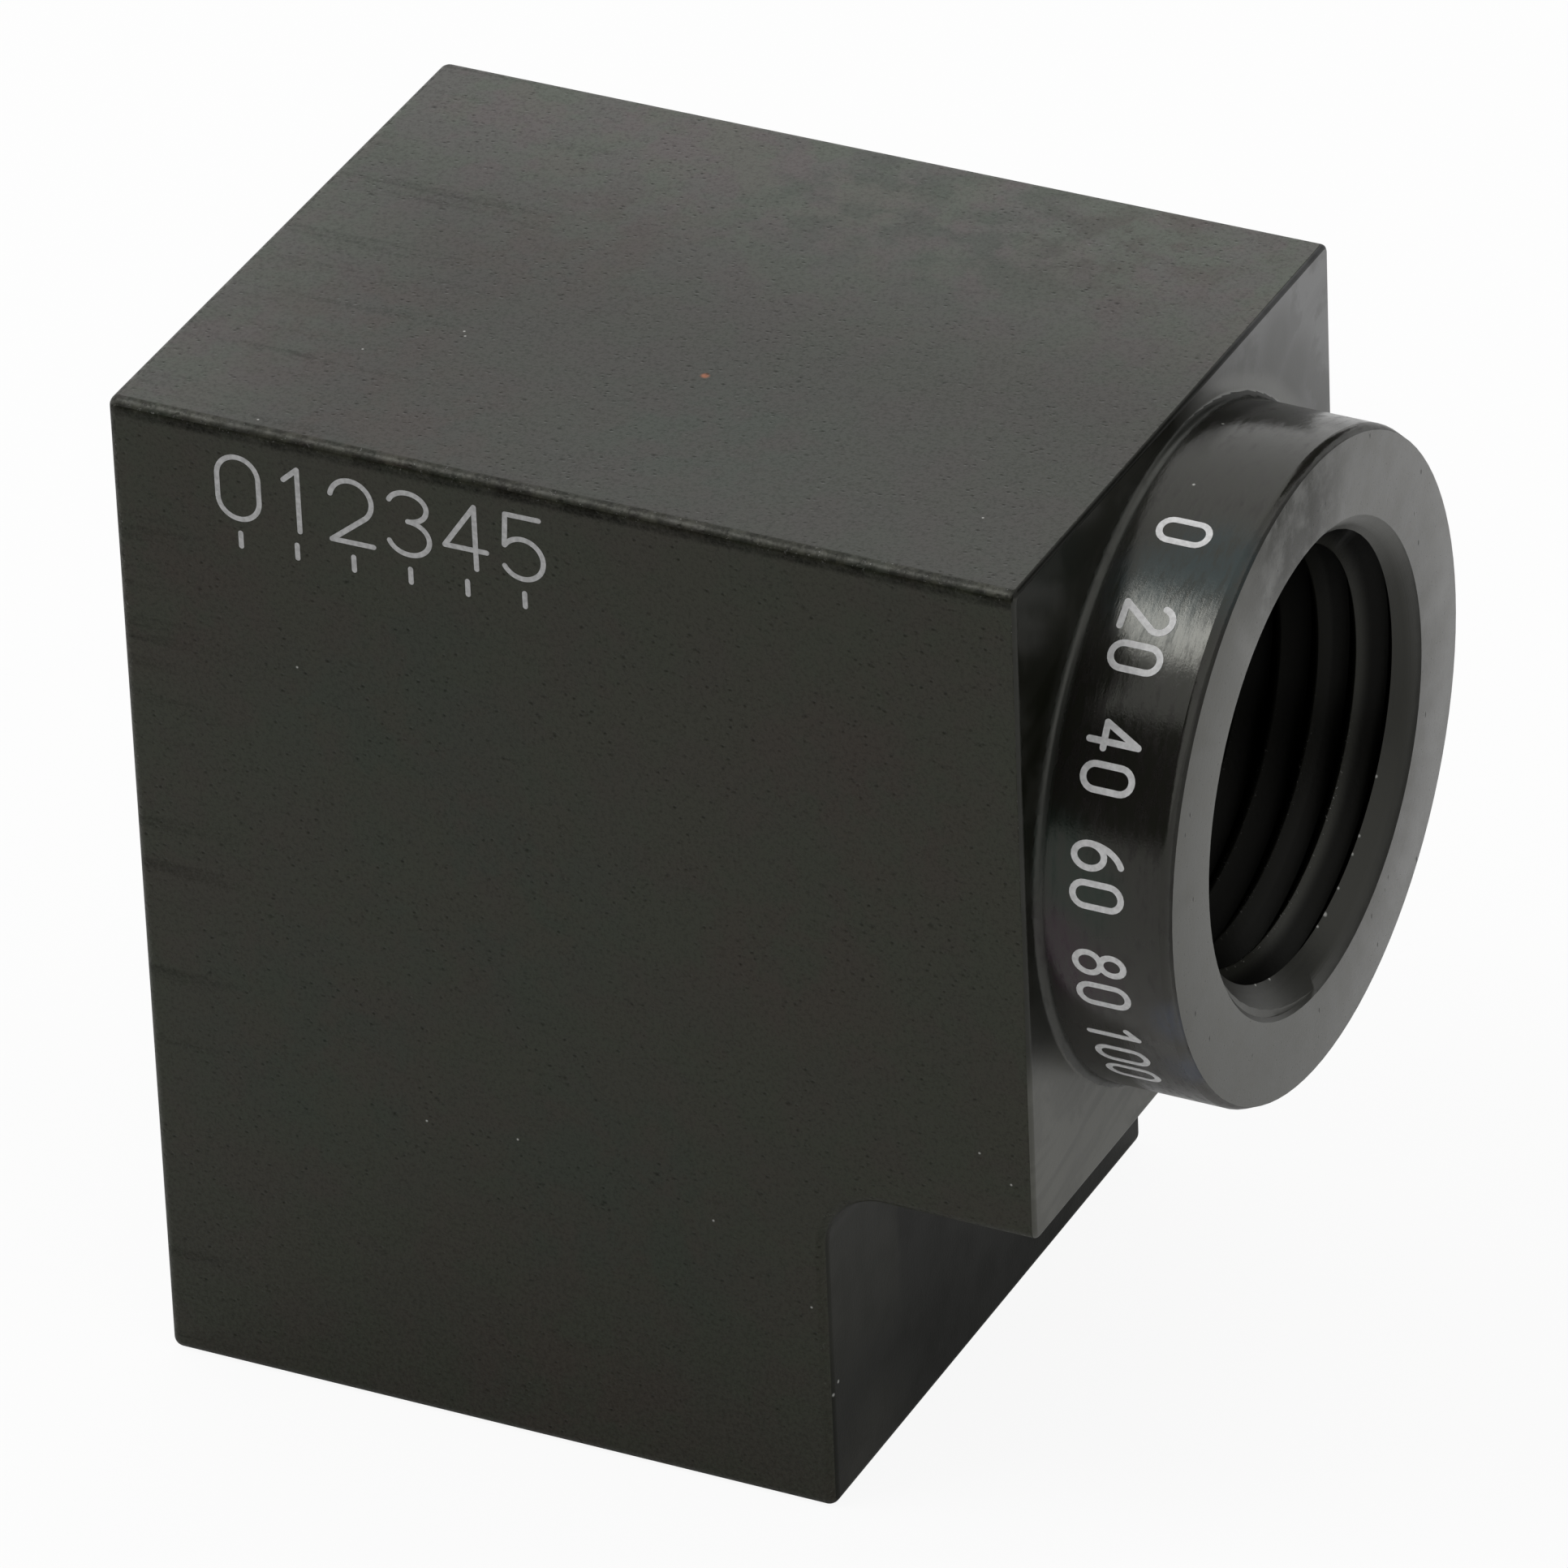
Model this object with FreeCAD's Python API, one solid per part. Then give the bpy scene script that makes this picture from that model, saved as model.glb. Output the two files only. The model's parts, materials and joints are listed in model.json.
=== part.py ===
import FreeCAD, Part
import math
import os

# Block elbow for high-pressure hydraulic hose, pipe thread socket to pipe thread socket.
# One piece of square steel bar: milled to an L, one end turned to a round boss,
# and drilled from both ends so that the two passages meet at a right angle.
# Millimetres. The origin is the centre of the bottom port's mouth, +Z runs up that port's axis,
# and +X points along the side port, out of its mouth.

Vector = FreeCAD.Vector

# Bar, leg and arm
bar_depth = 24.9
leg_width = 25.5
arm_height = 25.2

# Distances from the point where the ports' axes cross: down to the leg's end face,
# up to the top, and out to the boss's face
bottom_reach = 25.5
top_reach = 12.6
side_reach = 25.55

# Notch under the arm
notch_radius = 2.25

# Turned boss: how far it stands out, the step left around it, its root and its bevel
boss_height = 4.9
boss_shoulder = 0.75
root_fillet = 0.3
root_flat = 0.05
bevel_length = 0.41
bevel_depth = 0.17

# Edges: the bar's own are softer than those of the milled shoulder.
# The shoulder's outline turns its corners on the bar's rounded edges, and its own round
# stays within most_of_corner of them.
bar_round = 0.4
shoulder_round = 0.18
most_of_corner = 0.48

# Ports: both are drilled for a 3/8-18 pipe thread, which a tap cuts afterwards
tap_drill_diameter = 14.7
drilled_depth = 16.5
countersink_width = 1.3
countersink_angle = 90.0

# Oil way: the leg's passage runs past the crossing, and the arm's smaller one breaks into it
leg_passage_diameter = 9.5
arm_passage_diameter = 9.0
leg_passage_overrun = 0.5
drill_point_angle = 118.0

# How far a tool's shape starts inside the block or outside the mouth
tool_lap = 1.0

# Places that follow from the sizes above
half_bar = bar_depth / 2
half_leg = leg_width / 2
shoulder_x = side_reach - boss_height
top_z = bottom_reach + top_reach
notch_z = top_z - arm_height
boss_radius = half_bar - boss_shoulder
edge_of_shoulder = min(shoulder_round, most_of_corner * bar_round)
boss_root = min(root_fillet, boss_shoulder - edge_of_shoulder - root_flat)
leg_passage_end = arm_passage_diameter / 2 + leg_passage_overrun


def bar_outline():
    """Closed wire of the block's front outline, with the arc at the notch's inner corner."""
    y = -half_bar
    turn = notch_radius * (1 - math.sqrt(0.5))
    arc_start = Vector(half_leg, y, notch_z - notch_radius)
    arc_middle = Vector(half_leg + turn, y, notch_z - turn)
    arc_end = Vector(half_leg + notch_radius, y, notch_z)
    straight = Part.makePolygon([
        arc_end,
        Vector(shoulder_x, y, notch_z),
        Vector(shoulder_x, y, top_z),
        Vector(-half_leg, y, top_z),
        Vector(-half_leg, y, 0),
        Vector(half_leg, y, 0),
        arc_start,
    ])
    arc = Part.Arc(arc_start, arc_middle, arc_end).toShape()
    return Part.Wire(straight.Edges + [arc])


def shoulder_edges(block):
    """Edges all round the flat face that the boss stands on."""
    near = 1e-4
    return [edge for edge in block.Edges if edge.BoundBox.XMin > shoulder_x - near]


def bar_edges(block):
    """The other edges, without the two ends of the notch's inner corner, where faces run on smoothly."""
    milled = shoulder_edges(block)
    found = []
    for edge in block.Edges:
        box = edge.BoundBox
        in_notch = notch_z - 2 * notch_radius < box.ZMin and box.ZMax < top_z - notch_radius
        across = box.YLength > half_bar
        if not (in_notch and across) and not any(edge.isSame(other) for other in milled):
            found.append(edge)
    return found


def bar_block():
    """The L-shaped block: its outline extruded through the bar's depth, with its edges rounded."""
    block = Part.Face(bar_outline()).extrude(Vector(0, bar_depth, 0))
    block = block.makeFillet(bar_round, bar_edges(block))
    return block.makeFillet(edge_of_shoulder, shoulder_edges(block))


def revolve_about_port(edges, axis_point, axis):
    """Solid of revolution about a port's axis from the edges of a closed half section."""
    return Part.Face(Part.Wire(edges)).revolve(axis_point, axis, 360)


def side_point(x, radius):
    """Point of a half section beside the side port's axis."""
    return Vector(x, 0, bottom_reach + radius)


def boss():
    """Round boss on the arm's end, with a small fillet at its root and a steep bevel at its face."""
    foot_x = shoulder_x - tool_lap
    foot_radius = boss_radius + boss_root
    fillet_rise = boss_root * (1 - math.sqrt(0.5))
    fillet_start = side_point(shoulder_x, foot_radius)
    fillet_middle = side_point(shoulder_x + fillet_rise, boss_radius + fillet_rise)
    fillet_end = side_point(shoulder_x + boss_root, boss_radius)
    before = Part.makePolygon([
        side_point(foot_x, 0),
        side_point(foot_x, foot_radius),
        fillet_start,
    ])
    after = Part.makePolygon([
        fillet_end,
        side_point(side_reach - bevel_length, boss_radius),
        side_point(side_reach, boss_radius - bevel_depth),
        side_point(side_reach, 0),
        side_point(foot_x, 0),
    ])
    fillet = Part.Arc(fillet_start, fillet_middle, fillet_end).toShape()
    edges = before.Edges + [fillet] + after.Edges
    return revolve_about_port(edges, side_point(0, 0), Vector(1, 0, 0))


def port_section(reach, passage_diameter, passage_end):
    """Half section of a port's cuts as (distance from the crossing, radius), mouth first.

    The passage keeps its full width to passage_end beyond the crossing, and ends in the drill's point.
    """
    drill_radius = tap_drill_diameter / 2
    passage_radius = passage_diameter / 2
    mouth_radius = drill_radius + countersink_width
    countersink_slope = math.tan(math.radians(countersink_angle / 2))
    point_slope = math.tan(math.radians(drill_point_angle / 2))
    countersink_depth = countersink_width / countersink_slope
    drill_end = reach - drilled_depth
    return [
        (reach + tool_lap, 0),
        (reach + tool_lap, mouth_radius + tool_lap * countersink_slope),
        (reach - countersink_depth, drill_radius),
        (drill_end, drill_radius),
        (drill_end - (drill_radius - passage_radius) / point_slope, passage_radius),
        (-passage_end, passage_radius),
        (-passage_end - passage_radius / point_slope, 0),
    ]


def side_port():
    """What the drills take out from the boss's face."""
    section = port_section(side_reach, arm_passage_diameter, 0)
    points = [side_point(distance, radius) for distance, radius in section]
    edges = Part.makePolygon(points + points[:1]).Edges
    return revolve_about_port(edges, side_point(0, 0), Vector(1, 0, 0))


def bottom_port():
    """What the drills take out from the leg's lower end."""
    section = port_section(bottom_reach, leg_passage_diameter, leg_passage_end)
    points = [Vector(radius, 0, bottom_reach - distance) for distance, radius in section]
    edges = Part.makePolygon(points + points[:1]).Edges
    return revolve_about_port(edges, Vector(0, 0, 0), Vector(0, 0, 1))


def elbow_block():
    """The whole adapter, as one solid."""
    body = bar_block().fuse(boss())
    body = body.cut(side_port()).cut(bottom_port())
    return body.removeSplitter().Solids[0]


def main():
    os.makedirs("parts", exist_ok=True)
    part = elbow_block()
    part.exportStep("parts/elbow_block.step")
    print("elbow_block", "valid", part.isValid(), "volume", round(part.Volume, 1), "mm3")


main()
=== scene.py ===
# %% [markdown]
# # A block elbow in black-oxide steel
#
# The object is a hydraulic elbow: a square bar milled to an L, one end turned to a round boss, and
# both ends bored and tapped for a pipe thread. Its body comes from the CAD frame. This script
# gives it what the frame leaves out: the threads, the marking, the finish of each machined face,
# the light and the camera. Sizes are written in millimetres, as a drawing has them, and Blender
# gets metres.

# %% The frame
import json
import math

import bmesh
import bpy
import numpy as np
from mathutils import Matrix, Vector

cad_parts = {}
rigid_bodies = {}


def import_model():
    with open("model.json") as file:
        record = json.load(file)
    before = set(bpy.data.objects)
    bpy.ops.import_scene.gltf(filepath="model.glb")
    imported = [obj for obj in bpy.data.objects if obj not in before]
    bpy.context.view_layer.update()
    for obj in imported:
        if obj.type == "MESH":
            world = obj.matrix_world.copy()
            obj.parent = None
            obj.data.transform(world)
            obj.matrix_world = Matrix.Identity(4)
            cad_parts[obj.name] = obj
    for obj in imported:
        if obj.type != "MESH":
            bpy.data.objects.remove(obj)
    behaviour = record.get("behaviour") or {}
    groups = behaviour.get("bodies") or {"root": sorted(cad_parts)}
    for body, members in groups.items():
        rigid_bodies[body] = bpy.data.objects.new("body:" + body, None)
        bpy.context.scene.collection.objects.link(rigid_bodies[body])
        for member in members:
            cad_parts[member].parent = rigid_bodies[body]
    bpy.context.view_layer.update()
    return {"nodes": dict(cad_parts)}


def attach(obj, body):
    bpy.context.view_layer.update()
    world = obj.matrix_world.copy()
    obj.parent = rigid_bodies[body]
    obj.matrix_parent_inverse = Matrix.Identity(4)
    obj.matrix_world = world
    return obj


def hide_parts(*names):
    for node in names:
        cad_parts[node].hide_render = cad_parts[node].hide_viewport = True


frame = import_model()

MM = 0.001

# %% [markdown]
# ## Sizes that the finishes need
#
# A pattern that stops at an edge, or a ring that follows the boss, has to know where that edge is.
# These are the drawing's sizes of the body, measured from the centre of the bottom port's mouth.

# %% Sizes in mm
HALF_LEG = 12.75
HALF_BAR = 12.45
TOP = 38.1
NOTCH_TOP = 12.9
SHOULDER_X = 20.65
FACE_X = 25.55
PORT_Z = 25.5
BOSS_R = 11.7
BEVEL_X = 25.14
MOUTH_R = 8.65
DRILL_R = 7.35
print("boss stands out", round(FACE_X - SHOULDER_X, 2), "mm")

# %% [markdown]
# ## The camera
#
# The photograph was taken with a long lens from the right, 32 degrees up, and the camera was held
# about 2.5 degrees off level. The pose and the lens came from a fit of the body's edges to the
# photograph. A camera looks down its own -Z axis, so its matrix has the picture's right, its up,
# and the direction back from the object as columns.

# %% Camera
AZIMUTH, ELEVATION, ROLL = np.radians([27.168285, 31.858295, -2.480461])
CAMERA_AT = (0.206587, -0.391622, 0.293704)
LENS_MM = 349.78
SENSOR_MM = 36.0
NEAREST_SEEN_M = 0.01

back = np.array([math.sin(AZIMUTH) * math.cos(ELEVATION),
                 -math.cos(AZIMUTH) * math.cos(ELEVATION),
                 math.sin(ELEVATION)])
level = np.array([math.cos(AZIMUTH), math.sin(AZIMUTH), 0.0])
upright = np.cross(back, level)
right = math.cos(ROLL) * level + math.sin(ROLL) * upright
up = math.cos(ROLL) * upright - math.sin(ROLL) * level

view = bpy.data.cameras.new("photo_view")
view.lens = LENS_MM
view.sensor_width = SENSOR_MM
view.clip_start = NEAREST_SEEN_M
camera = bpy.data.objects.new("photo_view", view)
turn = Matrix(np.column_stack([right, up, back]).tolist()).to_4x4()
camera.matrix_world = Matrix.Translation(CAMERA_AT) @ turn
bpy.context.scene.collection.objects.link(camera)
bpy.context.scene.camera = camera
print("camera", round(float(np.linalg.norm(CAMERA_AT)), 3), "m from the origin")

# %% [markdown]
# ## From numbers to a mesh
#
# Every new piece here is worked out with numpy and handed to Blender as one array of points and
# one of faces. Some come out of the sum with their faces turned inwards, so Blender is asked to
# turn them all outwards, and to count the edges that don't join exactly two faces. A closed piece
# has none.

# %% Mesh helpers
def new_object(name, points_mm, faces):
    """An object at the origin whose mesh has these points, given in mm, and these faces."""
    mesh = bpy.data.meshes.new(name)
    points = (np.asarray(points_mm) * MM).tolist()
    mesh.from_pydata(points, [], [list(map(int, face)) for face in faces])
    made = bpy.data.objects.new(name, mesh)
    bpy.context.scene.collection.objects.link(made)
    return made


def close_up(made, merge_distance=0.0):
    """Merges doubled points, turns the faces outwards, and counts the edges left open."""
    shell = bmesh.new()
    shell.from_mesh(made.data)
    if merge_distance:
        bmesh.ops.remove_doubles(shell, verts=shell.verts, dist=merge_distance)
    bmesh.ops.recalc_face_normals(shell, faces=shell.faces)
    open_edges = sum(len(edge.link_faces) != 2 for edge in shell.edges)
    shell.to_mesh(made.data)
    shell.free()
    print(made.name, len(made.data.polygons), "faces,", open_edges, "open edges")


print("mesh helpers ready")

# %% [markdown]
# ## The pipe threads
#
# Each bore is tapped with a 3/8-18 taper pipe thread: 18 turns to the inch, 60 degree flanks, and
# a tap whose radius falls by 1 mm in 32. The hole was drilled straight, so deeper grooves are
# shallower and the flats between them wider, and over the last turns the tap's lead runs out. A
# thread could be faked with a bump map, but its crests show in outline inside the mouth. So the
# tap itself is modelled, as one long helical ribbon with a cap at each end, and a Boolean cuts it
# away from the body as the real one does. The tap stops short of the drill's cone.

# %% The tap as a helical grid
PITCH = 25.4 / 18
TAP_MAJOR_R = 8.528
TAPER = 1 / 32
ROOT_FLAT = 0.07
HALF_THREAD_ANGLE = math.radians(30)
WALL_R = DRILL_R + 0.005
LEAST_DEPTH = 0.002
STEPS_A_TURN = 144
FULL_DEPTH, RUN_OUT_DEPTH = 9.4, 13.6
TAP_FROM, TAP_TO = -2.2, 15.6
TAP_HUB = TAP_FROM - 0.6
CORNERS = 5


def groove_depth(s):
    """Depth of the groove in the wall, s below the mouth: the taper's, then a straight run-out."""
    cut = TAP_MAJOR_R - s * TAPER - WALL_R
    left = np.clip((RUN_OUT_DEPTH - s) / (RUN_OUT_DEPTH - FULL_DEPTH), 0.0, 1.0)
    return np.maximum(cut * left, LEAST_DEPTH)


def tap_surface(phase):
    """Depth, radius and angle of the tap's points, five to a step.

    With t turns made, the groove's middle lies at s = s0 + t * pitch and at the angle
    phase - 2 pi t, which falls with depth because the thread is right-handed. Across it the five
    points give the profile: land, edge of the flank, both corners of the root flat, edge of the
    other flank. A flank is as wide as the groove is deep times tan 30. The next turn's land closes
    the profile, so turns share their points.
    """
    turns = int((TAP_TO - TAP_FROM) / PITCH)
    turned = np.arange(turns * STEPS_A_TURN + 1) / STEPS_A_TURN
    middle = TAP_FROM + PITCH / 2 + turned * PITCH
    depth = groove_depth(middle)
    half_width = ROOT_FLAT / 2 + depth * math.tan(HALF_THREAD_ANGLE)
    level_row = np.ones_like(depth)
    offsets = np.stack([-level_row * PITCH / 2, -half_width, -level_row * ROOT_FLAT / 2,
                        level_row * ROOT_FLAT / 2, half_width], -1)
    radii = WALL_R + np.outer(depth, [0, 0, 1, 1, 0])
    angle = phase - 2 * math.pi * turned
    return middle[:, None] + offsets, radii, np.repeat(angle[:, None], CORNERS, 1)


# %% [markdown]
# Four strips of quads run along each turn, and a fifth joins its last corner to the next turn's
# first. What is left open at each end is a loop: once round, then across the profile. A fan of
# triangles from a hub on the axis closes it. The angle at which the side tap starts was fitted to
# the burrs at the mouth. A Boolean fails at some of the angles near it and leaves the bore plain,
# so the count of the body's faces is worth a look after a change.

# %% The taps as closed objects
SIDE_TAP_DEGREES, BOTTOM_TAP_DEGREES = 311, 75


def tap_faces(steps):
    """Faces of a tap with that many steps. The two hubs come after all other points."""
    end = CORNERS - 1
    row = np.arange(steps - 1)[:, None] * CORNERS + np.arange(end)
    strips = np.stack([row, row + CORNERS, row + CORNERS + 1, row + 1], -1).reshape(-1, 4)
    land = np.arange(steps - STEPS_A_TURN - 1) * CORNERS
    below = land + STEPS_A_TURN * CORNERS
    joins = np.stack([land + end, land + end + CORNERS, below + CORNERS, below], -1)
    faces = np.concatenate([strips, joins]).tolist()
    first_loop = [step * CORNERS for step in range(STEPS_A_TURN + 1)]
    first_loop += range(end, 0, -1)
    last = (steps - 1) * CORNERS
    last_loop = [step * CORNERS + end for step in range(steps - 1 - STEPS_A_TURN, steps)]
    last_loop += range(last + end - 1, last - 1, -1)
    for loop, hub in ((first_loop, steps * CORNERS), (last_loop, steps * CORNERS + 1)):
        faces += [[a, b, hub] for a, b in zip(loop, loop[1:] + loop[:1])]
    return faces


def tap(name, phase_degrees, place):
    """The tap as a closed object. place turns depth, radius and angle into x, y, z."""
    s, r, angle = tap_surface(math.radians(phase_degrees))
    hubs = place(np.array([TAP_HUB, TAP_TO]), np.zeros(2), np.zeros(2))
    points = np.concatenate([place(s.ravel(), r.ravel(), angle.ravel()), hubs])
    made = new_object(name, points, tap_faces(len(s)))
    close_up(made)
    return made


def in_side_port(s, r, angle):
    """Along -X from the boss's face."""
    return np.stack([FACE_X - s, r * np.cos(angle), PORT_Z + r * np.sin(angle)], -1)


def in_bottom_port(s, r, angle):
    """Along +Z from the leg's end face."""
    return np.stack([r * np.cos(angle), -r * np.sin(angle), s], -1)


side_tap = tap("side_tap", SIDE_TAP_DEGREES, in_side_port)
bottom_tap = tap("bottom_tap", BOTTOM_TAP_DEGREES, in_bottom_port)

# %% [markdown]
# ## Cutting the body
#
# The CAD mesh arrives as loose triangles, and a Boolean needs a closed solid. So the body is a
# copy whose doubled points are merged. The Exact solver cuts both taps out of it, and the result
# is kept as a plain mesh. The piece then stands for the frame's node, and moves with the one body
# there is.

# %% Body with its threads
STEEL_NODE = "elbow_block"
SAME_POINT_M = 1e-7


def cut_away(solid, cutters):
    """Takes the cutters' shapes out of the solid for good, and removes them."""
    for cutter in cutters:
        difference = solid.modifiers.new(cutter.name, "BOOLEAN")
        difference.operation = "DIFFERENCE"
        difference.solver = "EXACT"
        difference.object = cutter
    evaluated = solid.evaluated_get(bpy.context.evaluated_depsgraph_get())
    result = bpy.data.meshes.new_from_object(evaluated)
    solid.modifiers.clear()
    solid.data = result
    for cutter in cutters:
        bpy.data.objects.remove(cutter)


body = bpy.data.objects.new("elbow_body", frame["nodes"][STEEL_NODE].data.copy())
bpy.context.scene.collection.objects.link(body)
close_up(body, SAME_POINT_M)
cut_away(body, [side_tap, bottom_tap])
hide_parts(STEEL_NODE)
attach(body, "root")
print("body", len(body.data.polygons), "faces")

# %% [markdown]
# ## Which machine made which face
#
# The bar's own skin, the milled faces, the turned boss and the tapped bores look different, so
# each gets a material of its own. Rather than picking faces by hand, numpy sorts them by where
# their middles lie and which way they face. A rounded edge is shared out: a face of it goes to the
# finish that it leans to far enough. A second value is kept for each face, as an attribute that a
# material can read: 1 on a round, 0 on a flat.

# %% Sort the faces
SKIN, TOP_SKIN, MILLED, NOTCH, TURNED, FACED, SUNK, BORE = range(8)
NEAR = 0.02
LONG_ROUND, SHORT_ROUND, NOTCH_ROUND = 0.42, 0.19, 0.2
LEANS_UP, LEANS_RIGHT, LEANS_TO_NOTCH = 0.35, 0.3, 0.1
FLAT = 0.995
COUNTERSINK_DEPTH = MOUTH_R - DRILL_R
COUNTERSINK_LEAN, LEAN_WITHIN = math.sqrt(0.5), 0.03


def face_values(mesh, attribute, width):
    """One value or vector of every face, as an array."""
    values = np.empty(len(mesh.polygons) * width, np.float32)
    mesh.polygons.foreach_get(attribute, values)
    return values.reshape(-1, width)


def sort_faces(middle, normal):
    """Number of the finish of every face."""
    x, y, z = middle.T
    right, up = normal[:, 0], normal[:, 2]
    finish = np.full(len(x), SKIN)
    finish[(z > TOP - LONG_ROUND) & (up > LEANS_UP)] = TOP_SKIN
    finish[(x > SHOULDER_X - SHORT_ROUND) & (right > LEANS_RIGHT)] = MILLED
    under_arm = (z < NOTCH_TOP + NOTCH_ROUND) & (x > HALF_LEG - NOTCH_ROUND / 2)
    inside = (x < SHOULDER_X - NOTCH_ROUND / 2) & (abs(y) < HALF_BAR - NOTCH_ROUND)
    turned_to_it = (right > LEANS_TO_NOTCH) | (up < -LEANS_TO_NOTCH)
    finish[under_arm & inside & turned_to_it] = NOTCH
    finish[x > SHOULDER_X + NEAR] = TURNED
    finish[(x > FACE_X - NEAR) & (right > FLAT)] = FACED
    in_side = (np.hypot(y, z - PORT_Z) < MOUTH_R) & (x < FACE_X - NEAR) & (x > 1 - HALF_LEG)
    in_leg = (np.hypot(x, y) < MOUTH_R) & (z > NEAR) & (z < TOP - 1)
    finish[in_side | in_leg] = BORE
    sloping = abs(np.maximum(right, -up) - COUNTERSINK_LEAN) < LEAN_WITHIN
    at_mouth = (x > FACE_X - COUNTERSINK_DEPTH) | (z < COUNTERSINK_DEPTH)
    finish[(in_side | in_leg) & sloping & at_mouth] = SUNK
    return finish


face_middle = face_values(body.data, "center", 3) / MM
face_normal = face_values(body.data, "normal", 3)
finish_of_face = sort_faces(face_middle, face_normal)
on_round = (abs(face_normal).max(1) < FLAT) & (finish_of_face <= NOTCH)
round_values = body.data.attributes.new("round", "FLOAT", "FACE").data
round_values.foreach_set("value", on_round.astype(np.float32))
print("faces of each finish:", np.bincount(finish_of_face).tolist())
print("faces on rounds:", int(on_round.sum()))

# %% [markdown]
# ## Smooth rounds and sharp corners
#
# The mesh is faceted, so its rounds are shaded smooth and its real corners kept sharp. An angle of
# 35 degrees tells them apart everywhere but at two places. The boss's bevel turns by only 22
# degrees and is marked by its place. The first turns of the thread leave the countersink at a
# still smaller angle, so every edge between those two finishes is marked. Weighted normals then
# keep the large flat faces flat up to their rounds.

# %% Shading
SHARP_FROM = math.radians(35)


def edges_between(mesh, first, second):
    """Which edges have a face of the first finish on one side and of the second on the other."""
    corner_edge = np.empty(len(mesh.loops), np.int32)
    mesh.loops.foreach_get("edge_index", corner_edge)
    corners = np.empty(len(mesh.polygons), np.int32)
    mesh.polygons.foreach_get("loop_total", corners)
    finish_of_corner = np.repeat(finish_of_face, corners)
    touched = np.zeros((2, len(mesh.edges)), bool)
    for row, finish in enumerate((first, second)):
        touched[row, corner_edge[finish_of_corner == finish]] = True
    return touched.all(0)


def shade(solid):
    """Smooth shading with sharp corners, and normals that follow the large faces."""
    mesh = solid.data
    mesh.polygons.foreach_set("use_smooth", np.ones(len(mesh.polygons), bool))
    mesh.set_sharp_from_angle(angle=SHARP_FROM)
    points = np.empty(len(mesh.vertices) * 3, np.float32)
    mesh.vertices.foreach_get("co", points)
    x, y, z = points.reshape(-1, 3).T / MM
    on_bevel = (abs(x - BEVEL_X) < NEAR) & (abs(np.hypot(y, z - PORT_Z) - BOSS_R) < NEAR)
    ends = np.empty(len(mesh.edges) * 2, np.int32)
    mesh.edges.foreach_get("vertices", ends)
    bevel = on_bevel[ends].reshape(-1, 2).all(1)
    thread_start = edges_between(mesh, SUNK, BORE)
    sharp = np.empty(len(mesh.edges), bool)
    mesh.edges.foreach_get("use_edge_sharp", sharp)
    mesh.edges.foreach_set("use_edge_sharp", sharp | bevel | thread_start)
    weighted = solid.modifiers.new("flat_faces_stay_flat", "WEIGHTED_NORMAL")
    weighted.keep_sharp = True
    print("edges marked sharp: bevel", int(bevel.sum()), "thread start", int(thread_start.sum()))


shade(body)

# %% [markdown]
# ## The marking
#
# A laser has taken the black off in thin lines. Here they are plain numbers: a short scale on the
# front and a scale of angles round the boss. A text object would bring a printed typeface, but a
# laser draws each digit as lines of even width. So a digit is a few paths of points, in a box w
# wide and 1 high. A path whose last point is its first is a closed one.

# %% Digits as paths
def arc(centre, radius, start, end):
    """Points of an elliptical arc, from start to end in degrees. radius is (across, up)."""
    t = np.radians(np.linspace(start, end, 2 + int(abs(end - start) / 8)))
    return np.column_stack([centre[0] + radius[0] * np.cos(t), centre[1] + radius[1] * np.sin(t)])


def digit_paths(w):
    """Strokes of the digits that the two scales need, for digits w times as wide as high."""
    h = w / 2
    pill = np.concatenate([arc((h, 1 - h), (h, h), 0, 180), arc((h, h), (h, h), 180, 360),
                           [[w, 1 - h]]])
    hook = np.concatenate([arc((h, 1 - h), (h, h), 168, -46), [[0, 0]]])
    return {
        "0": [pill],
        "1": [[(h - 0.16, 0.80), (h + 0.06, 1)], [(h + 0.06, 1), (h + 0.06, 0)]],
        "2": [hook, [(0, 0), (w, 0)]],
        "3": [arc((h, 0.77), (0.92 * h, 0.23), 160, -90), arc((h, 0.27), (h, 0.27), 90, -160)],
        "4": [[(0.74 * w, 0), (0.74 * w, 1)], [(0.74 * w, 1), (0, 0.3)], [(0, 0.3), (w, 0.3)]],
        "5": [[(0.92 * w, 1), (0.12 * w, 1)], [(0.12 * w, 1), (0.07 * w, 0.5)],
              arc((0.98 * h, 0.32), (h, 0.32), 146, -150)],
        "6": [arc((h, 0.31), (h, 0.31), 0, 360), arc((w, 0.31), (w, 0.69), 180, 106)],
        "8": [arc((h, 0.76), (0.86 * h, 0.24), 0, 360), arc((h, 0.26), (h, 0.26), 0, 360)],
    }


print("digits drawn:", " ".join(digit_paths(0.5)))

# %% [markdown]
# Each path becomes a flat band: a grid with four points at each station, two above the steel and
# two below it. Near an open end the half width shrinks as a quarter circle does, which rounds the
# end. Where strokes cross, their tops must not lie at one height, or they would flicker through
# each other.

# %% Bands along the paths
BAND_TOP = 0.010
TOP_STEP = 0.0015
BAND_FOOT = -0.03
EASE_STEPS = 6


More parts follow.
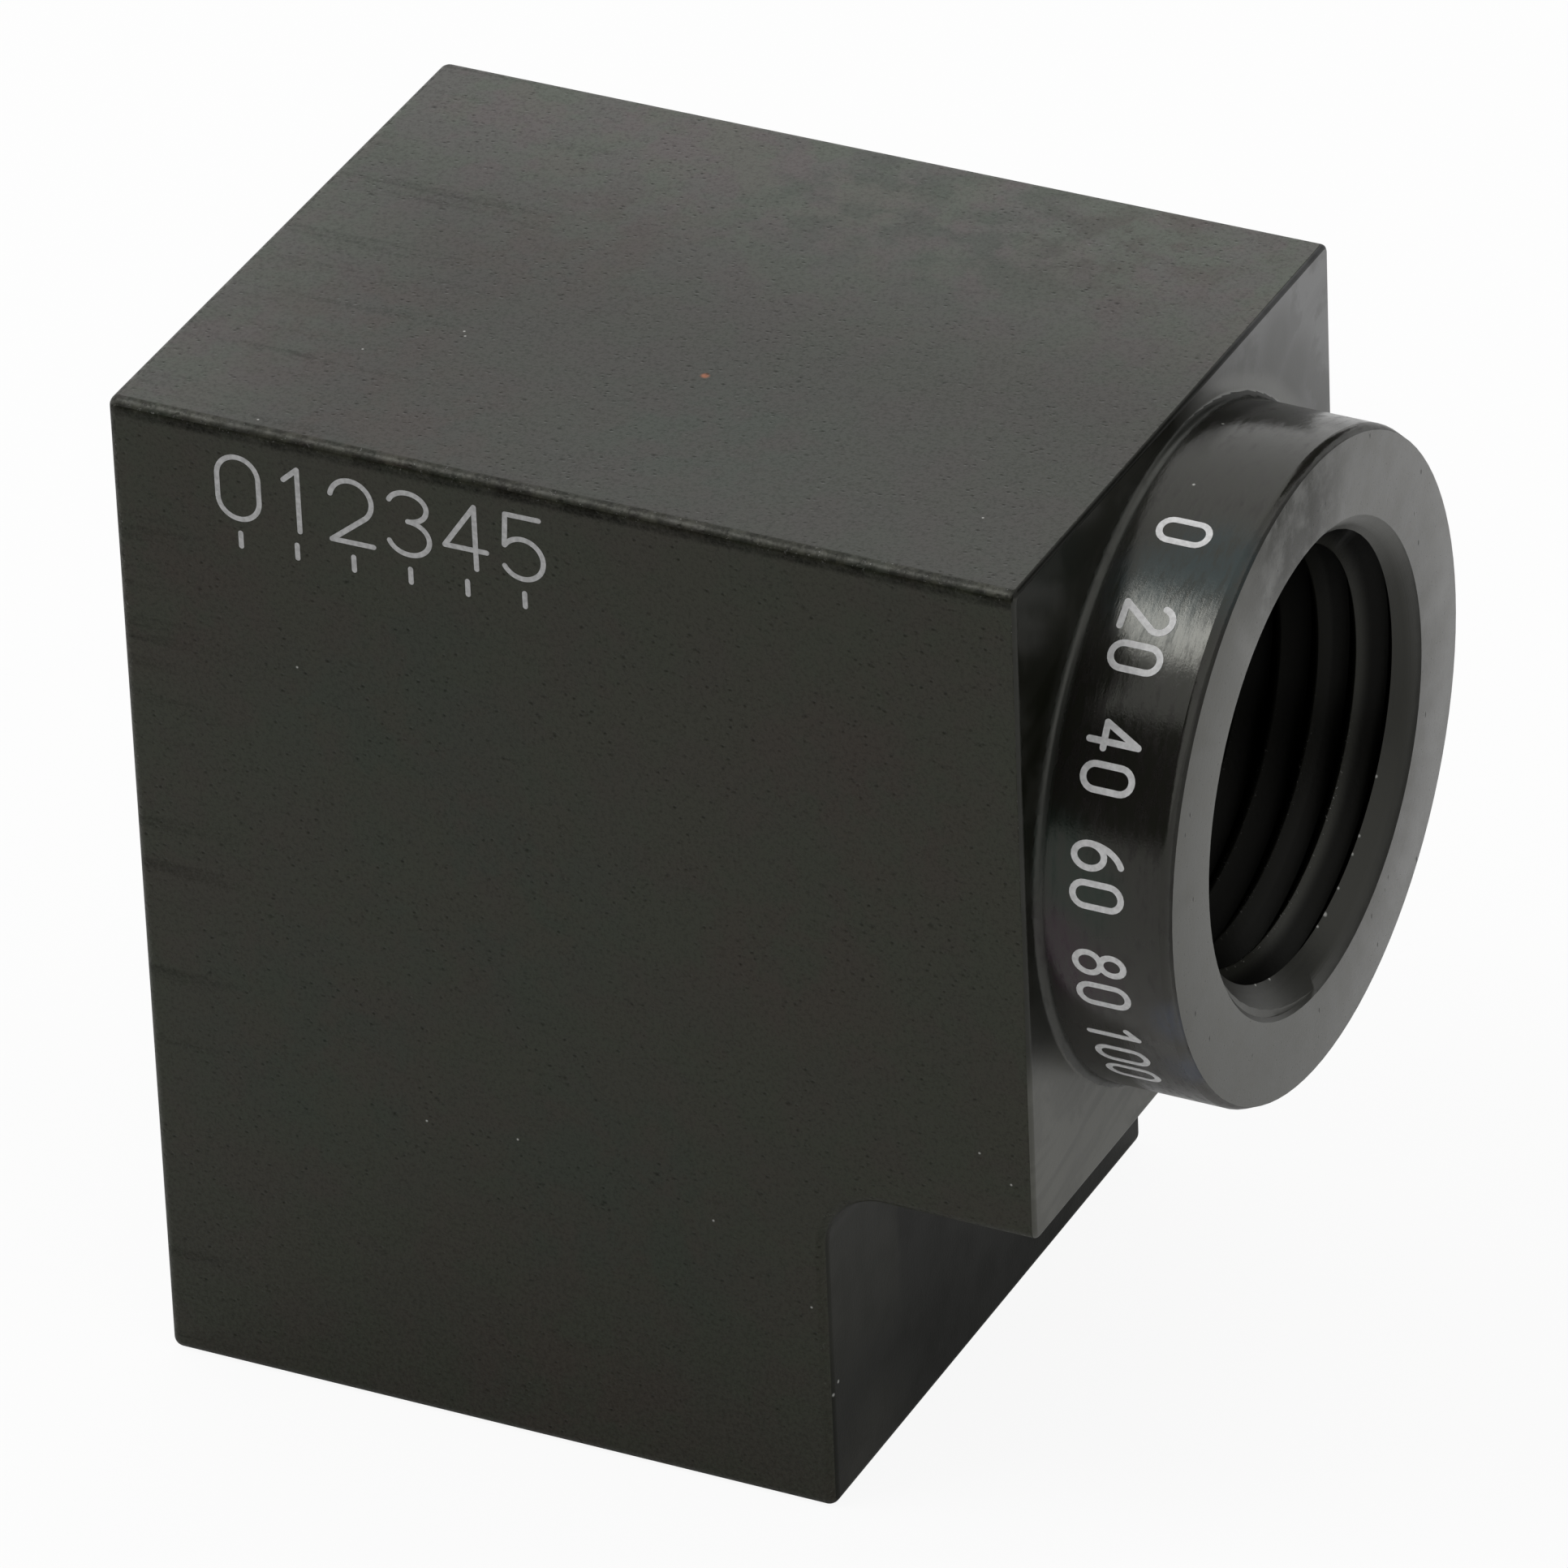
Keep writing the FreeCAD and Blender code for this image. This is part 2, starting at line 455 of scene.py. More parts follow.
def stations(path, half_width):
    """Points along the path at an even spacing, and the band's half width at each."""
    path = np.asarray(path, float)
    closed = np.allclose(path[0], path[-1])
    if not closed:
        tails = np.array([path[0] - path[1], path[-1] - path[-2]])
        tails *= half_width / np.linalg.norm(tails, axis=1)[:, None]
        path = np.concatenate([[path[0] + tails[0]], path, [path[-1] + tails[1]]])
    reach = np.concatenate([[0], np.cumsum(np.linalg.norm(np.diff(path, axis=0), axis=1))])
    total = reach[-1]
    at = np.linspace(0, total, int(total / half_width), endpoint=False)
    from_end = np.full(len(at), half_width)
    if not closed:
        ease = half_width * (1 - np.cos(np.linspace(0, math.pi / 2, EASE_STEPS, endpoint=False)))
        middle = np.linspace(half_width, total - half_width, max(2, int(total / half_width)))
        at = np.concatenate([ease, middle, total - ease[::-1]])
        from_end = np.minimum(np.minimum(at, total - at), half_width)
    width = np.sqrt(half_width ** 2 - (half_width - from_end) ** 2)
    width = np.maximum(width, half_width / 10)
    return np.column_stack([np.interp(at, reach, path[:, i]) for i in (0, 1)]), width, closed


def band(path, half_width, top, lay):
    """Points and faces of one closed band. lay puts (across, up, out) on the part.

    Its sides run at p(t) + w(t) n(t) and p(t) - w(t) n(t), where p is the path, w the half width
    and n the unit vector square to the path.
    """
    flat, width, closed = stations(path, half_width)
    if closed:
        along = np.roll(flat, -1, 0) - np.roll(flat, 1, 0)
    else:
        along = np.gradient(flat, axis=0)
    along /= np.linalg.norm(along, axis=1)[:, None]
    aside = np.column_stack([-along[:, 1], along[:, 0]]) * width[:, None]
    profile = [(1, top), (1, BAND_FOOT), (-1, BAND_FOOT), (-1, top)]
    sides = [lay(*(flat + aside * side).T, np.full(len(flat), out)) for side, out in profile]
    count = len(flat)
    rows = count if closed else count - 1
    row, column = np.meshgrid(np.arange(rows), np.arange(4), indexing="ij")
    after, beside = (row + 1) % count, (column + 1) % 4
    quads = [row * 4 + column, row * 4 + beside, after * 4 + beside, after * 4 + column]
    faces = np.stack(quads, -1).reshape(-1, 4)
    if not closed:
        faces = np.concatenate([faces, [[3, 2, 1, 0]], [[4 * count - 4 + i for i in range(4)]]])
    return np.stack(sides, 1).reshape(-1, 3), faces


def marking(name, strokes, half_width, lay):
    """One object from many strokes. Each of three neighbours has its top at a height of its own."""
    points, faces, count = [], [], 0
    for index, stroke in enumerate(strokes):
        band_points, band_faces = band(stroke, half_width, BAND_TOP + TOP_STEP * (index % 3), lay)
        points.append(band_points)
        faces.append(band_faces + count)
        count += len(band_points)
    made = new_object(name, np.concatenate(points), np.concatenate(faces))
    close_up(made)
    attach(made, "root")
    return made


def number_strokes(text, digits, width, pitch, middle, base, height):
    """Strokes of a number of that height, with its middle and its base line at these places."""
    start = middle - pitch * (len(text) - 1) / 2 - height * width / 2
    return [np.asarray(path) * height + [start + index * pitch, base]
            for index, character in enumerate(text) for path in digits[character]]


# %% [markdown]
# The front has a row of six digits over short marks. It rises a little to the right, since the
# part lay slightly askew under the laser.

# %% Scale on the front face
FRONT_DIGIT_WIDTH = 0.65
SCALE_HEIGHT = 2.38
SCALE_STEP = 2.117
SCALE_FIRST_X = -7.9
SCALE_BASE_Z = 34.50
SCALE_RISE = 0.0086
MARK_TOP_Z, MARK_FOOT_Z = 33.95, 33.45
SCALE_NUMBERS = 6
SCALE_HALF_WIDTH = 0.094


def lay_on_front(across, high, out):
    """Front face: across is X, high is Z, out is towards -Y."""
    return np.stack([across, -HALF_BAR - out, high + SCALE_RISE * (across - SCALE_FIRST_X)], -1)


front_digits = digit_paths(FRONT_DIGIT_WIDTH)
front_strokes = []
for count in range(SCALE_NUMBERS):
    x = SCALE_FIRST_X + SCALE_STEP * count
    front_strokes += number_strokes(str(count), front_digits, FRONT_DIGIT_WIDTH, 0.0, x,
                                    SCALE_BASE_Z, SCALE_HEIGHT)
    front_strokes.append([(x, MARK_TOP_Z), (x, MARK_FOOT_Z)])
scale_marks = marking("scale_marks", front_strokes, SCALE_HALF_WIDTH, lay_on_front)

# %% [markdown]
# Round the boss the numbers stand at their own angles, every 20 degrees. The drawing is flat, with
# the arc's length as its across, and is rolled onto the boss.

# %% Scale of angles round the boss
BOSS_DIGIT_WIDTH = 0.49
ANGLE_HEIGHT = 1.75
ANGLE_BASE_X = 22.02
ANGLE_START = 111.0
ANGLE_STEP, ANGLE_LAST = 20, 100
ANGLE_DIGIT_PITCH = 1.40
ANGLE_HALF_WIDTH = 0.115


def lay_on_boss(around, high, out):
    """Round the boss: around is the arc's length, high is X, out is away from the port's axis."""
    angle, radius = around / BOSS_R, BOSS_R + out
    return np.stack([high, radius * np.cos(angle), PORT_Z + radius * np.sin(angle)], -1)


boss_digits = digit_paths(BOSS_DIGIT_WIDTH)
angle_strokes = []
for degrees in range(0, ANGLE_LAST + 1, ANGLE_STEP):
    around = math.radians(ANGLE_START + degrees) * BOSS_R
    angle_strokes += number_strokes(str(degrees), boss_digits, BOSS_DIGIT_WIDTH, ANGLE_DIGIT_PITCH,
                                    around, ANGLE_BASE_X, ANGLE_HEIGHT)
angle_marks = marking("angle_marks", angle_strokes, ANGLE_HALF_WIDTH, lay_on_boss)

# %% [markdown]
# ## Writing shader maths as expressions
#
# A finish is a formula over the surface: so deep a pit here, so much wear there. In the node
# editor that becomes dozens of Math nodes. Here a small class wraps a socket, so that an
# expression such as `1 - mask` adds the node by itself. Every other node comes from one method of
# `Graph`, which takes the node's kind, its settings and the values of its sockets.

# %% Sockets with operators
class Value:
    """One output of a node. An operator on it adds a Math node."""

    def __init__(self, graph, socket):
        self.graph, self.socket = graph, socket

    def output(self, name):
        """Another output of the same node."""
        return Value(self.graph, self.socket.node.outputs[name])

    def maths(self, operation, *values):
        """A Math node whose first input is this value."""
        return self.graph.node("Math", {"operation": operation}, dict(enumerate((self, *values))))

    def __add__(self, other):
        return self.maths("ADD", other)

    def __sub__(self, other):
        return self.maths("SUBTRACT", other)

    def __rsub__(self, other):
        return self.graph.node("Math", {"operation": "SUBTRACT"}, {0: other, 1: self})

    def __mul__(self, other):
        return self.maths("MULTIPLY", other)

    def __or__(self, other):
        """The larger of two masks."""
        return self.maths("MAXIMUM", other)

    __radd__ = __add__
    __rmul__ = __mul__


class Graph:
    """The nodes of one material or world."""

    def __init__(self, tree):
        self.tree = tree
        tree.nodes.clear()

    def node(self, kind, settings=None, sockets=None, out=0):
        """Adds a node: its settings first, then its sockets by name or number. Gives one output."""
        made = self.tree.nodes.new("ShaderNode" + kind)
        for name, value in (settings or {}).items():
            setattr(made, name, value)
        for name, value in (sockets or {}).items():
            if isinstance(value, Value):
                self.tree.links.new(value.socket, made.inputs[name])
            else:
                made.inputs[name].default_value = value
        return Value(self, made.outputs[out]) if made.outputs else None

    def between(self, value, low, high):
        """0 where the value is at low, 1 at high, smooth between. low may be the larger one."""
        return self.node("MapRange", {"interpolation_type": "SMOOTHSTEP"},
                         {"Value": value, "From Min": low, "From Max": high})

    def mix(self, amount, first, second):
        """Mix of two colours."""
        return self.node("Mix", {"data_type": "RGBA"}, {0: amount, 6: first, 7: second}, 2)

    def tinted(self, amount, colour, tint):
        """The colour multiplied by the tint, as far as the amount says."""
        return self.node("Mix", {"data_type": "RGBA", "blend_type": "MULTIPLY"},
                         {0: amount, 6: colour, 7: tint}, 2)

    def stretched(self, place, factors):
        """The place with its coordinates multiplied, so that a pattern comes out longer."""
        return self.node("VectorMath", {"operation": "MULTIPLY"}, {0: place, 1: factors})

    def noise(self, place, scale, detail=2.0, rough=0.5):
        """Cloudy noise round 0.5, with clouds about 1 / scale mm wide."""
        return self.node("TexNoise", {}, {"Vector": place, "Scale": scale, "Detail": detail,
                                          "Roughness": rough})

    def lines(self, along, scale, detail=4.0, rough=0.65):
        """Noise that changes along one value only, as turning and milling lines do."""
        return self.node("TexNoise", {"noise_dimensions": "1D"},
                         {"W": along, "Scale": scale, "Detail": detail, "Roughness": rough})


print("shader helpers ready")

# %% [markdown]
# ## Black oxide on steel
#
# The black is a layer of oxide a thousandth of a millimetre thick. It hardly scatters light, so
# its base colour is nearly black with a touch of olive, and what is seen is mostly its gloss,
# which Principled's own reflection gives. In pits and dirty corners even the gloss is gone, so
# there a second, dull shader is mixed in. Several finishes also mix it in as painted shade, where
# a face is to look darker for the light it gets. One class holds what all finishes share.

# %% Base of the finishes
# The dull shader's colour, for pits and dirt, and for painted shade.
HOLLOW_AND_SHADE = (0.002, 0.002, 0.0015, 1)
BARE = (0.42, 0.42, 0.40, 1)
HOLLOW_AND_SHADE_ROUGHNESS, HOLLOW_AND_SHADE_IOR = 0.6, 1.1
OLIVE_GLOSS = (1.0, 1.0, 0.92, 1)


class Finish(Graph):
    """A material of the elbow, with its place in mm ready for use."""

    def __init__(self, name):
        self.material = bpy.data.materials.new(name)
        self.material.use_nodes = True
        super().__init__(self.material.node_tree)
        metres = self.node("TexCoord", out="Object")
        self.place = self.node("VectorMath", {"operation": "SCALE"}, {0: metres, "Scale": 1 / MM})
        self.x = self.node("SeparateXYZ", {}, {0: self.place})
        self.y, self.z = self.x.output("Y"), self.x.output("Z")
        self.round = self.node("Attribute", {"attribute_name": "round"}, out="Fac")

    def spot(self, centre, radius):
        """1 near a point given in mm, falling smoothly to 0 at 1.6 times the radius."""
        away = self.node("VectorMath", {"operation": "DISTANCE"}, {0: self.place, 1: centre},
                         "Value")
        return self.between(away, radius * 1.6, radius * 0.4)

    def spots(self, centres, radius):
        """Several spots in one mask."""
        total = self.spot(centres[0], radius)
        for centre in centres[1:]:
            total = total | self.spot(centre, radius)
        return total

    def patches(self, scale, low, high, detail=4.0, rough=0.6):
        """Ragged patches: noise cut off between two of its levels. low may be the larger one."""
        return self.between(self.noise(self.place, scale, detail, rough), low, high)

    def axis_distance(self):
        """Distance from the side port's axis, in mm."""
        high = self.z - PORT_Z
        return (self.y * self.y + high * high).maths("SQRT")

    def finish(self, colour, roughness, height_mm, dull=None, ior=1.5):
        """Ends the material. height_mm feeds a Bump node, dull brings in the dull shader."""
        bump = self.node("Bump", {}, {"Strength": 1.0, "Distance": MM, "Height": height_mm})
        surface = self.node("BsdfPrincipled", {}, {
            "Base Color": colour, "Roughness": roughness, "IOR": ior,
            "Specular Tint": OLIVE_GLOSS, "Normal": bump})
        if dull is not None:
            hollow_and_shade = self.node("BsdfPrincipled", {}, {
                "Base Color": HOLLOW_AND_SHADE, "Roughness": HOLLOW_AND_SHADE_ROUGHNESS, "IOR": HOLLOW_AND_SHADE_IOR,
                "Normal": bump})
            surface = self.node("MixShader", {}, {0: dull, 1: surface, 2: hollow_and_shade})
        self.node("OutputMaterial", {}, {"Surface": surface})
        print(self.material.name, len(self.tree.nodes), "nodes")
        return self.material


# %% [markdown]
# ### The bar's own skin
#
# The bar's skin is finely pitted along its length, with a sandy grain, faint green and russet
# clouds where the oxide is thicker, drawn streaks near the end, and pale specks. Pits come from a
# Voronoi pattern: the distance to the nearest of many scattered points, cut off close to the
# point. Along the rounded edges the black has rubbed thin, with chips down to the bare steel. The
# front and the top share all this, so a class builds it, and each face brings its own colours and
# strengths.

# %% Parts of the skin
OLIVE_TINT = (0.90, 1.16, 0.90, 1)
PLUM_TINT = (1.20, 0.92, 1.05, 1)
RUBBED_OXIDE = (0.045, 0.045, 0.030, 1)
GREEN = (0.0040, 0.0170, 0.0075, 1)
RUSSET = (0.0230, 0.0090, 0.0060, 1)
SPECK_R = 0.038
PIT_DEPTH, CHIP_DEPTH = 0.012, 0.02


class Skin(Finish):
    """A face of the bar."""

    def pits(self, spacing, widest):
        """1 in the middle of scattered pits, 0 between them, in drifts and drawn out along the bar.

        spacing is in mm, and widest is the pits' radius as a share of it.
        """
        bent = self.noise(self.place, 4.0, 2.0) * 0.12
        drawn_out = self.stretched(self.place, (0.72, 1.0, 1.0))
        away = self.node("TexVoronoi", {}, {"Vector": drawn_out, "Scale": 1 / spacing})
        drift = self.patches(0.30, 0.30, 0.56, 3.0, 0.5)
        return self.between(away + bent, widest, widest / 5) * drift

    def streaks(self, reach_from, reach_to):
        """Long thin lines along X, strongest towards the bar's left end."""
        near_end = self.between(self.x, reach_from, reach_to)
        lines = self.noise(self.stretched(self.place, (0.05, 1.0, 1.0)), 1.1, 4.0, 0.65)
        return self.between(lines, 0.52, 0.70) * near_end

    def skin(self, base, clouds, specks, dull, roughness, grain_depth, ior):
        """Colour, gloss and height of the skin, ended as a material."""
        grain = self.noise(self.place, 7.0, 3.0, 0.8)
        colour = self.tinted(self.patches(0.45, 0.42, 0.58) * 0.8, base, OLIVE_TINT)
        colour = self.tinted(self.patches(0.36, 0.54, 0.44) * 0.7, colour, PLUM_TINT)
        for tint, centres, radius, strength in clouds:
            ragged = self.patches(0.6, 0.40, 0.60)
            colour = self.mix(self.spots(centres, radius) * ragged * strength, colour, tint)
        pitted = self.pits(0.30, 0.34) | self.pits(0.80, 0.21)
        rubbed = self.round * (self.between(self.z, 20.0, 36.0) * 0.85 + 0.15)
        worn = rubbed * self.patches(1.4, 0.42, 0.60, rough=0.7)
        chipped = rubbed * self.patches(6.0, 0.62, 0.69, 3.0, 0.75)
        smudged = rubbed * self.patches(1.6, 0.60, 0.42, 3.0, 0.7) * 0.35
        colour = self.mix(worn * 0.5, colour, RUBBED_OXIDE)
        colour = self.mix(self.spots(specks, SPECK_R) | chipped * 0.45, colour, BARE)
        height = grain * grain_depth - pitted * PIT_DEPTH - chipped * CHIP_DEPTH
        gloss = roughness + grain * 0.16 + self.round * 0.08
        hollow_and_shade = (pitted * 0.42 | dull | smudged) + (grain - 0.47) * 1.2
        return self.finish(colour, gloss, height, hollow_and_shade, ior)


print("skin ready, with specks", 2 * SPECK_R, "mm wide")

# %% [markdown]
# The front is the darkest face. Towards its foot and just under the upper edge it is darkened
# still more with painted shade.
# Clouds and specks are set at the places where the real face has them, because noise alone would
# spread them evenly.

# %% Front skin
FRONT_OXIDE = (0.0142, 0.0145, 0.0066, 1)


def on_front(*places):
    """Points of the front face, from their x and z."""
    return [(x, -HALF_BAR, z) for x, z in places]


f = Skin("pitted_bar_skin")
front_clouds = [
    (GREEN, on_front((-3.1, 28.6), (0.6, 22.0), (5.2, 10.7), (-6.0, 14.0)), 5.0, 0.40),
    (RUSSET, on_front((14.8, 29.0), (12.0, 22.0), (3.0, 2.0), (-9.5, 32.0)), 4.0, 0.40)]
front_specks = on_front((-6.08, 29.14), (-2.16, 12.03), (1.3, 12.15), (8.6, 10.73),
                        (18.68, 16.0), (19.81, 15.02), (12.17, 8.14))
# Painted shade: darker just under the upper edge, and a little darker towards the foot.
shade_below_edge = f.between(f.z, TOP - 0.70, TOP - 0.45) * f.noise(f.place, 1.0, 3.0)
low = f.between(f.z, 13.0, 0.0) * 0.08
front_skin = f.skin(FRONT_OXIDE, front_clouds, front_specks,
                    shade_below_edge | low | f.streaks(-7.0, -12.5) * 0.25,
                    roughness=0.27, grain_depth=0.012, ior=1.46)

# %% [markdown]
# The top is the same skin with a finer grain. It is paler towards the back and at the sawn end,
# has long streaks there, and carries one speck of rust.

# %% Top skin
TOP_OXIDE = (0.0120, 0.0125, 0.0085, 1)
PALER_OXIDE = (0.058, 0.057, 0.052, 1)
RUST = (0.36, 0.10, 0.03, 1)
RUST_SPECK, RUST_SPECK_R = (5.15, -3.58, TOP), 0.13


def on_top(*places):
    """Points of the top face, from their x and y."""
    return [(x, y, TOP) for x, y in places]


f = Skin("fine_bar_skin")
top_clouds = [
    (GREEN, on_top((6.98, -7.24), (10.69, 8.19), (5.0, 9.0)), 4.0, 0.55),
    (RUSSET, on_top((-7.41, -5.07), (-3.03, 2.59), (-3.21, -10.28), (15.5, 9.5)), 4.0, 0.45)]
top_specks = on_top((-3.45, -4.27), (-3.62, -4.0), (-6.24, -6.34), (-7.34, -11.79),
                    (17.62, -8.38))
paler = f.between(f.y, -2.0, 12.0) | f.between(f.x, -4.0, -13.0) * 0.6
base = f.mix(paler, TOP_OXIDE, PALER_OXIDE)
base = f.mix(f.spot(RUST_SPECK, RUST_SPECK_R), base, RUST)
# Painted shade: the round along the shoulder edge is darkened into a dark line.
shaded_shoulder_edge = f.round * f.between(f.x, SHOULDER_X - 0.25, SHOULDER_X - 0.19)
top_skin = f.skin(base, top_clouds, top_specks,
                  f.streaks(-1.0, -9.0) * 0.22 | shaded_shoulder_edge * 0.55,
                  roughness=0.26, grain_depth=0.006, ior=1.49)

# %% [markdown]
# ### Milled faces
#
# On the shoulder the milling lines run nearly level across the bar, as broad faint streaks. Its
# lower corner is painted paler as lit, and the rest darker as shaded by the boss; towards the upper
# back it turns paler and bluish. A pale ring on the boss's root is a painted highlight, and the
# round at the upper edge gets painted shade. The streaks are noise whose coordinate along the line
# is pressed together, so that its clouds come out long.

# %% Milled shoulder
SHADED_SHOULDER_OXIDE = (0.0030, 0.0034, 0.0014, 1)
LIT_LOW_OXIDE = (0.098, 0.098, 0.085, 1)
LIT_LOW_BACK_OXIDE = (0.160, 0.160, 0.144, 1)
BLUISH_OXIDE = (0.225, 0.226, 0.230, 1)
STREAK_OXIDE = (0.030, 0.030, 0.026, 1)
RING_HIGHLIGHT_OXIDE = (0.300, 0.302, 0.285, 1)
LINE_SLOPE = 0.20
MOTTLE = [(SHOULDER_X, 8.2, 36.4), (SHOULDER_X, 9.6, 34.6)]

f = Finish("milled_shoulder")
level_line = f.z - f.y * LINE_SLOPE
along_lines = f.node("CombineXYZ", {}, {0: f.x, 1: f.y * 0.14, 2: level_line})
# Painted light: the lower corner is paler as lit, the rest darker as shaded by the boss.
lit_low_corner = f.between(f.z, 20.6, 18.2)
streak = f.between(f.noise(along_lines, 0.9, 2.0, 0.5), 0.45, 0.60) * (lit_low_corner * 0.7 + 0.3)
cloud = f.noise(f.place, 0.5, 4.0, 0.6)
grain = f.noise(f.place, 8.0, 3.0, 0.7)
back_corner = f.between(f.z + f.y, 38.0, 47.0)
behind_boss = f.between(f.y, -0.5, 4.0) * f.between(f.z, 30.0, 34.0)
# Painted highlight: a pale ring on the fillet round the boss's root.
root_highlight_ring = f.between(f.axis_distance(), 12.8, 12.1) * behind_boss
darker = f.between(cloud, 0.44, 0.60) * 0.35 | streak * 0.42 | f.spots(MOTTLE, 1.3) * 0.45
colour = f.mix(lit_low_corner, SHADED_SHOULDER_OXIDE, LIT_LOW_OXIDE)
colour = f.mix(lit_low_corner * f.between(f.y, -10.0, 2.0), colour, LIT_LOW_BACK_OXIDE)
colour = f.mix(back_corner, colour, BLUISH_OXIDE)
colour = f.mix(darker, colour, STREAK_OXIDE)
colour = f.mix(root_highlight_ring * 0.45, colour, RING_HIGHLIGHT_OXIDE)
# Painted shade on the round at the upper edge.
shaded_upper_edge = f.round * f.between(f.z, TOP - 0.24, TOP - 0.14)
shoulder_finish = f.finish(colour, 0.24 + cloud * 0.08 + grain * 0.06,
                           grain * 0.003 - streak * 0.004, shaded_upper_edge * 0.65)

# %% [markdown]
# The notch was milled with the side of the cutter. One pass left a slightly paler strip along the
# front edge, and the cutter's marks are so fine that only the gloss shows them. The same paler
# colour at the foot of the face is a painted reflection of the floor.

# %% Milled notch
NOTCH_OXIDE = (0.0022, 0.0025, 0.0008, 1)
STRIP_AND_FLOOR_REFLECTION_OXIDE = (0.0165, 0.0165, 0.0120, 1)
STRIP_EDGE_Y = -6.9
NOTCH_SPECKS = [(HALF_LEG, -11.84, 4.9), (HALF_LEG, -12.2, 4.56)]

f = Finish("milled_notch")
fine = f.lines(f.y, 3.0)
cloud = f.noise(f.place, 0.5, 3.0)
grain = f.noise(f.place, 9.0, 3.0)
strip = f.between(f.y, STRIP_EDGE_Y + 0.25, STRIP_EDGE_Y - 0.25) * f.between(f.z, 3.0, 7.5)
# Painted reflection of the floor: a paler patch at the foot of the face.
foot = f.spot((HALF_LEG, -9.5, 0.5), 2.4)
colour = f.mix(strip | foot, NOTCH_OXIDE, STRIP_AND_FLOOR_REFLECTION_OXIDE)
colour = f.mix(f.spots(NOTCH_SPECKS, 0.06), colour, BARE)
notch_finish = f.finish(colour, 0.34 + cloud * 0.08, fine * 0.002 + grain * 0.005,
                        (cloud - 0.45) * 0.5, 1.30)

# %% [markdown]
# ### The turned boss
#
# A lathe leaves fine rings, which change only along the axis on the round side, so their noise
# reads one number instead of a place. The oxide on the side is glossy and blotched, with a green,
# a violet and a bluish tint where it is thickest; the bluish one lies beside the bright band and
# is partly a painted highlight. The lower side is painted paler as lit from below, a pale patch on
# the lower bevel is a painted reflection of the floor, and next to the shoulder the top of the side
# gets painted shade. At the root it is rough, and a pale line is painted there as a highlight
# along the fillet.

# %% Turned side
BOSS_OLIVE, BOSS_PLUM = (0.0125, 0.0130, 0.0095, 1), (0.0155, 0.0125, 0.0130, 1)
LIT_LOWER_OXIDE = (0.052, 0.049, 0.045, 1)
ROOT_HIGHLIGHT_OXIDE = (0.030, 0.032, 0.028, 1)
BOSS_TINTS_AND_REFLECTION = [((0.002, 0.017, 0.010, 1), [(21.3, -11.45, 27.8), (22.4, -11.5, 26.6)], 1.3),
         ((0.026, 0.007, 0.020, 1), [(21.2, -11.68, 24.6), (22.2, -11.52, 23.3)], 1.2),
         # Bluish tint beside the bright band, partly a painted highlight.
         ((0.012, 0.029, 0.034, 1), [(24.3, -5.3, 35.93), (23.2, -6.2, 35.42)], 1.7),
         # Painted reflection of the floor on the lower bevel, not a tint.
         ((0.050, 0.057, 0.078, 1), [(25.5, -9.9, 19.4), (25.5, -11.2, 21.9)], 0.9)]
BOSS_SPECKS = [(21.64, 1.66, 37.08), (22.32, -2.16, 37.0)]

f = Finish("turned_side")
rings = f.lines(f.x + f.axis_distance() * 0.3, 5.0, 5.0, 0.7)
smear = f.noise(f.stretched(f.place, (3.6, 1.0, 1.0)), 1.0, 4.0, 0.7)
grain = f.noise(f.place, 11.0, 2.0)
root = f.between(f.x, SHOULDER_X + 0.45, SHOULDER_X + 0.25)
behind_top = f.between(f.y, -1.5, 1.5) * f.between(f.z, 33.0, 34.5)
# Painted shade: the shoulder's dark reflection on the top of the side, next to it.
shade_near_shoulder = f.between(f.x + smear * 0.8, 22.6, 22.0) * behind_top
colour = f.mix(f.between(smear, 0.35, 0.65) * 0.6, BOSS_OLIVE, BOSS_PLUM)
# Painted light: the lower side is paler as lit from below.
colour = f.mix(f.between(f.z, 26.5, 21.0) * 0.6, colour, LIT_LOWER_OXIDE)
for tint, centres, radius in BOSS_TINTS_AND_REFLECTION:
    colour = f.mix(f.spots(centres, radius) * f.between(smear, 0.15, 0.70), colour, tint)
colour = f.mix(f.spots(BOSS_SPECKS, 0.045), colour, BARE)
# Painted highlight: the root is paler along the fillet.
colour = f.mix(root * 0.7, colour, ROOT_HIGHLIGHT_OXIDE)
gloss = 0.11 + rings * 0.07 + f.between(smear, 0.40, 0.70) * 0.12 + root * 0.15
boss_finish = f.finish(colour, gloss, rings * 0.0022 + grain * 0.0016 + smear * 0.007,
                       (smear - 0.52) * 0.9 | shade_near_shoulder * 0.5, 1.48)

# %% [markdown]
# On the end face the rings change only with the distance from the port's axis. The face is paler
# than the side, and sandy to look at, with a few small nicks and one dirty smudge at the top.

# %% End face
NEAR_OXIDE, FAR_OXIDE = (0.104, 0.105, 0.098, 1), (0.178, 0.177, 0.174, 1)
CLOUD_OXIDE = (0.078, 0.074, 0.060, 1)

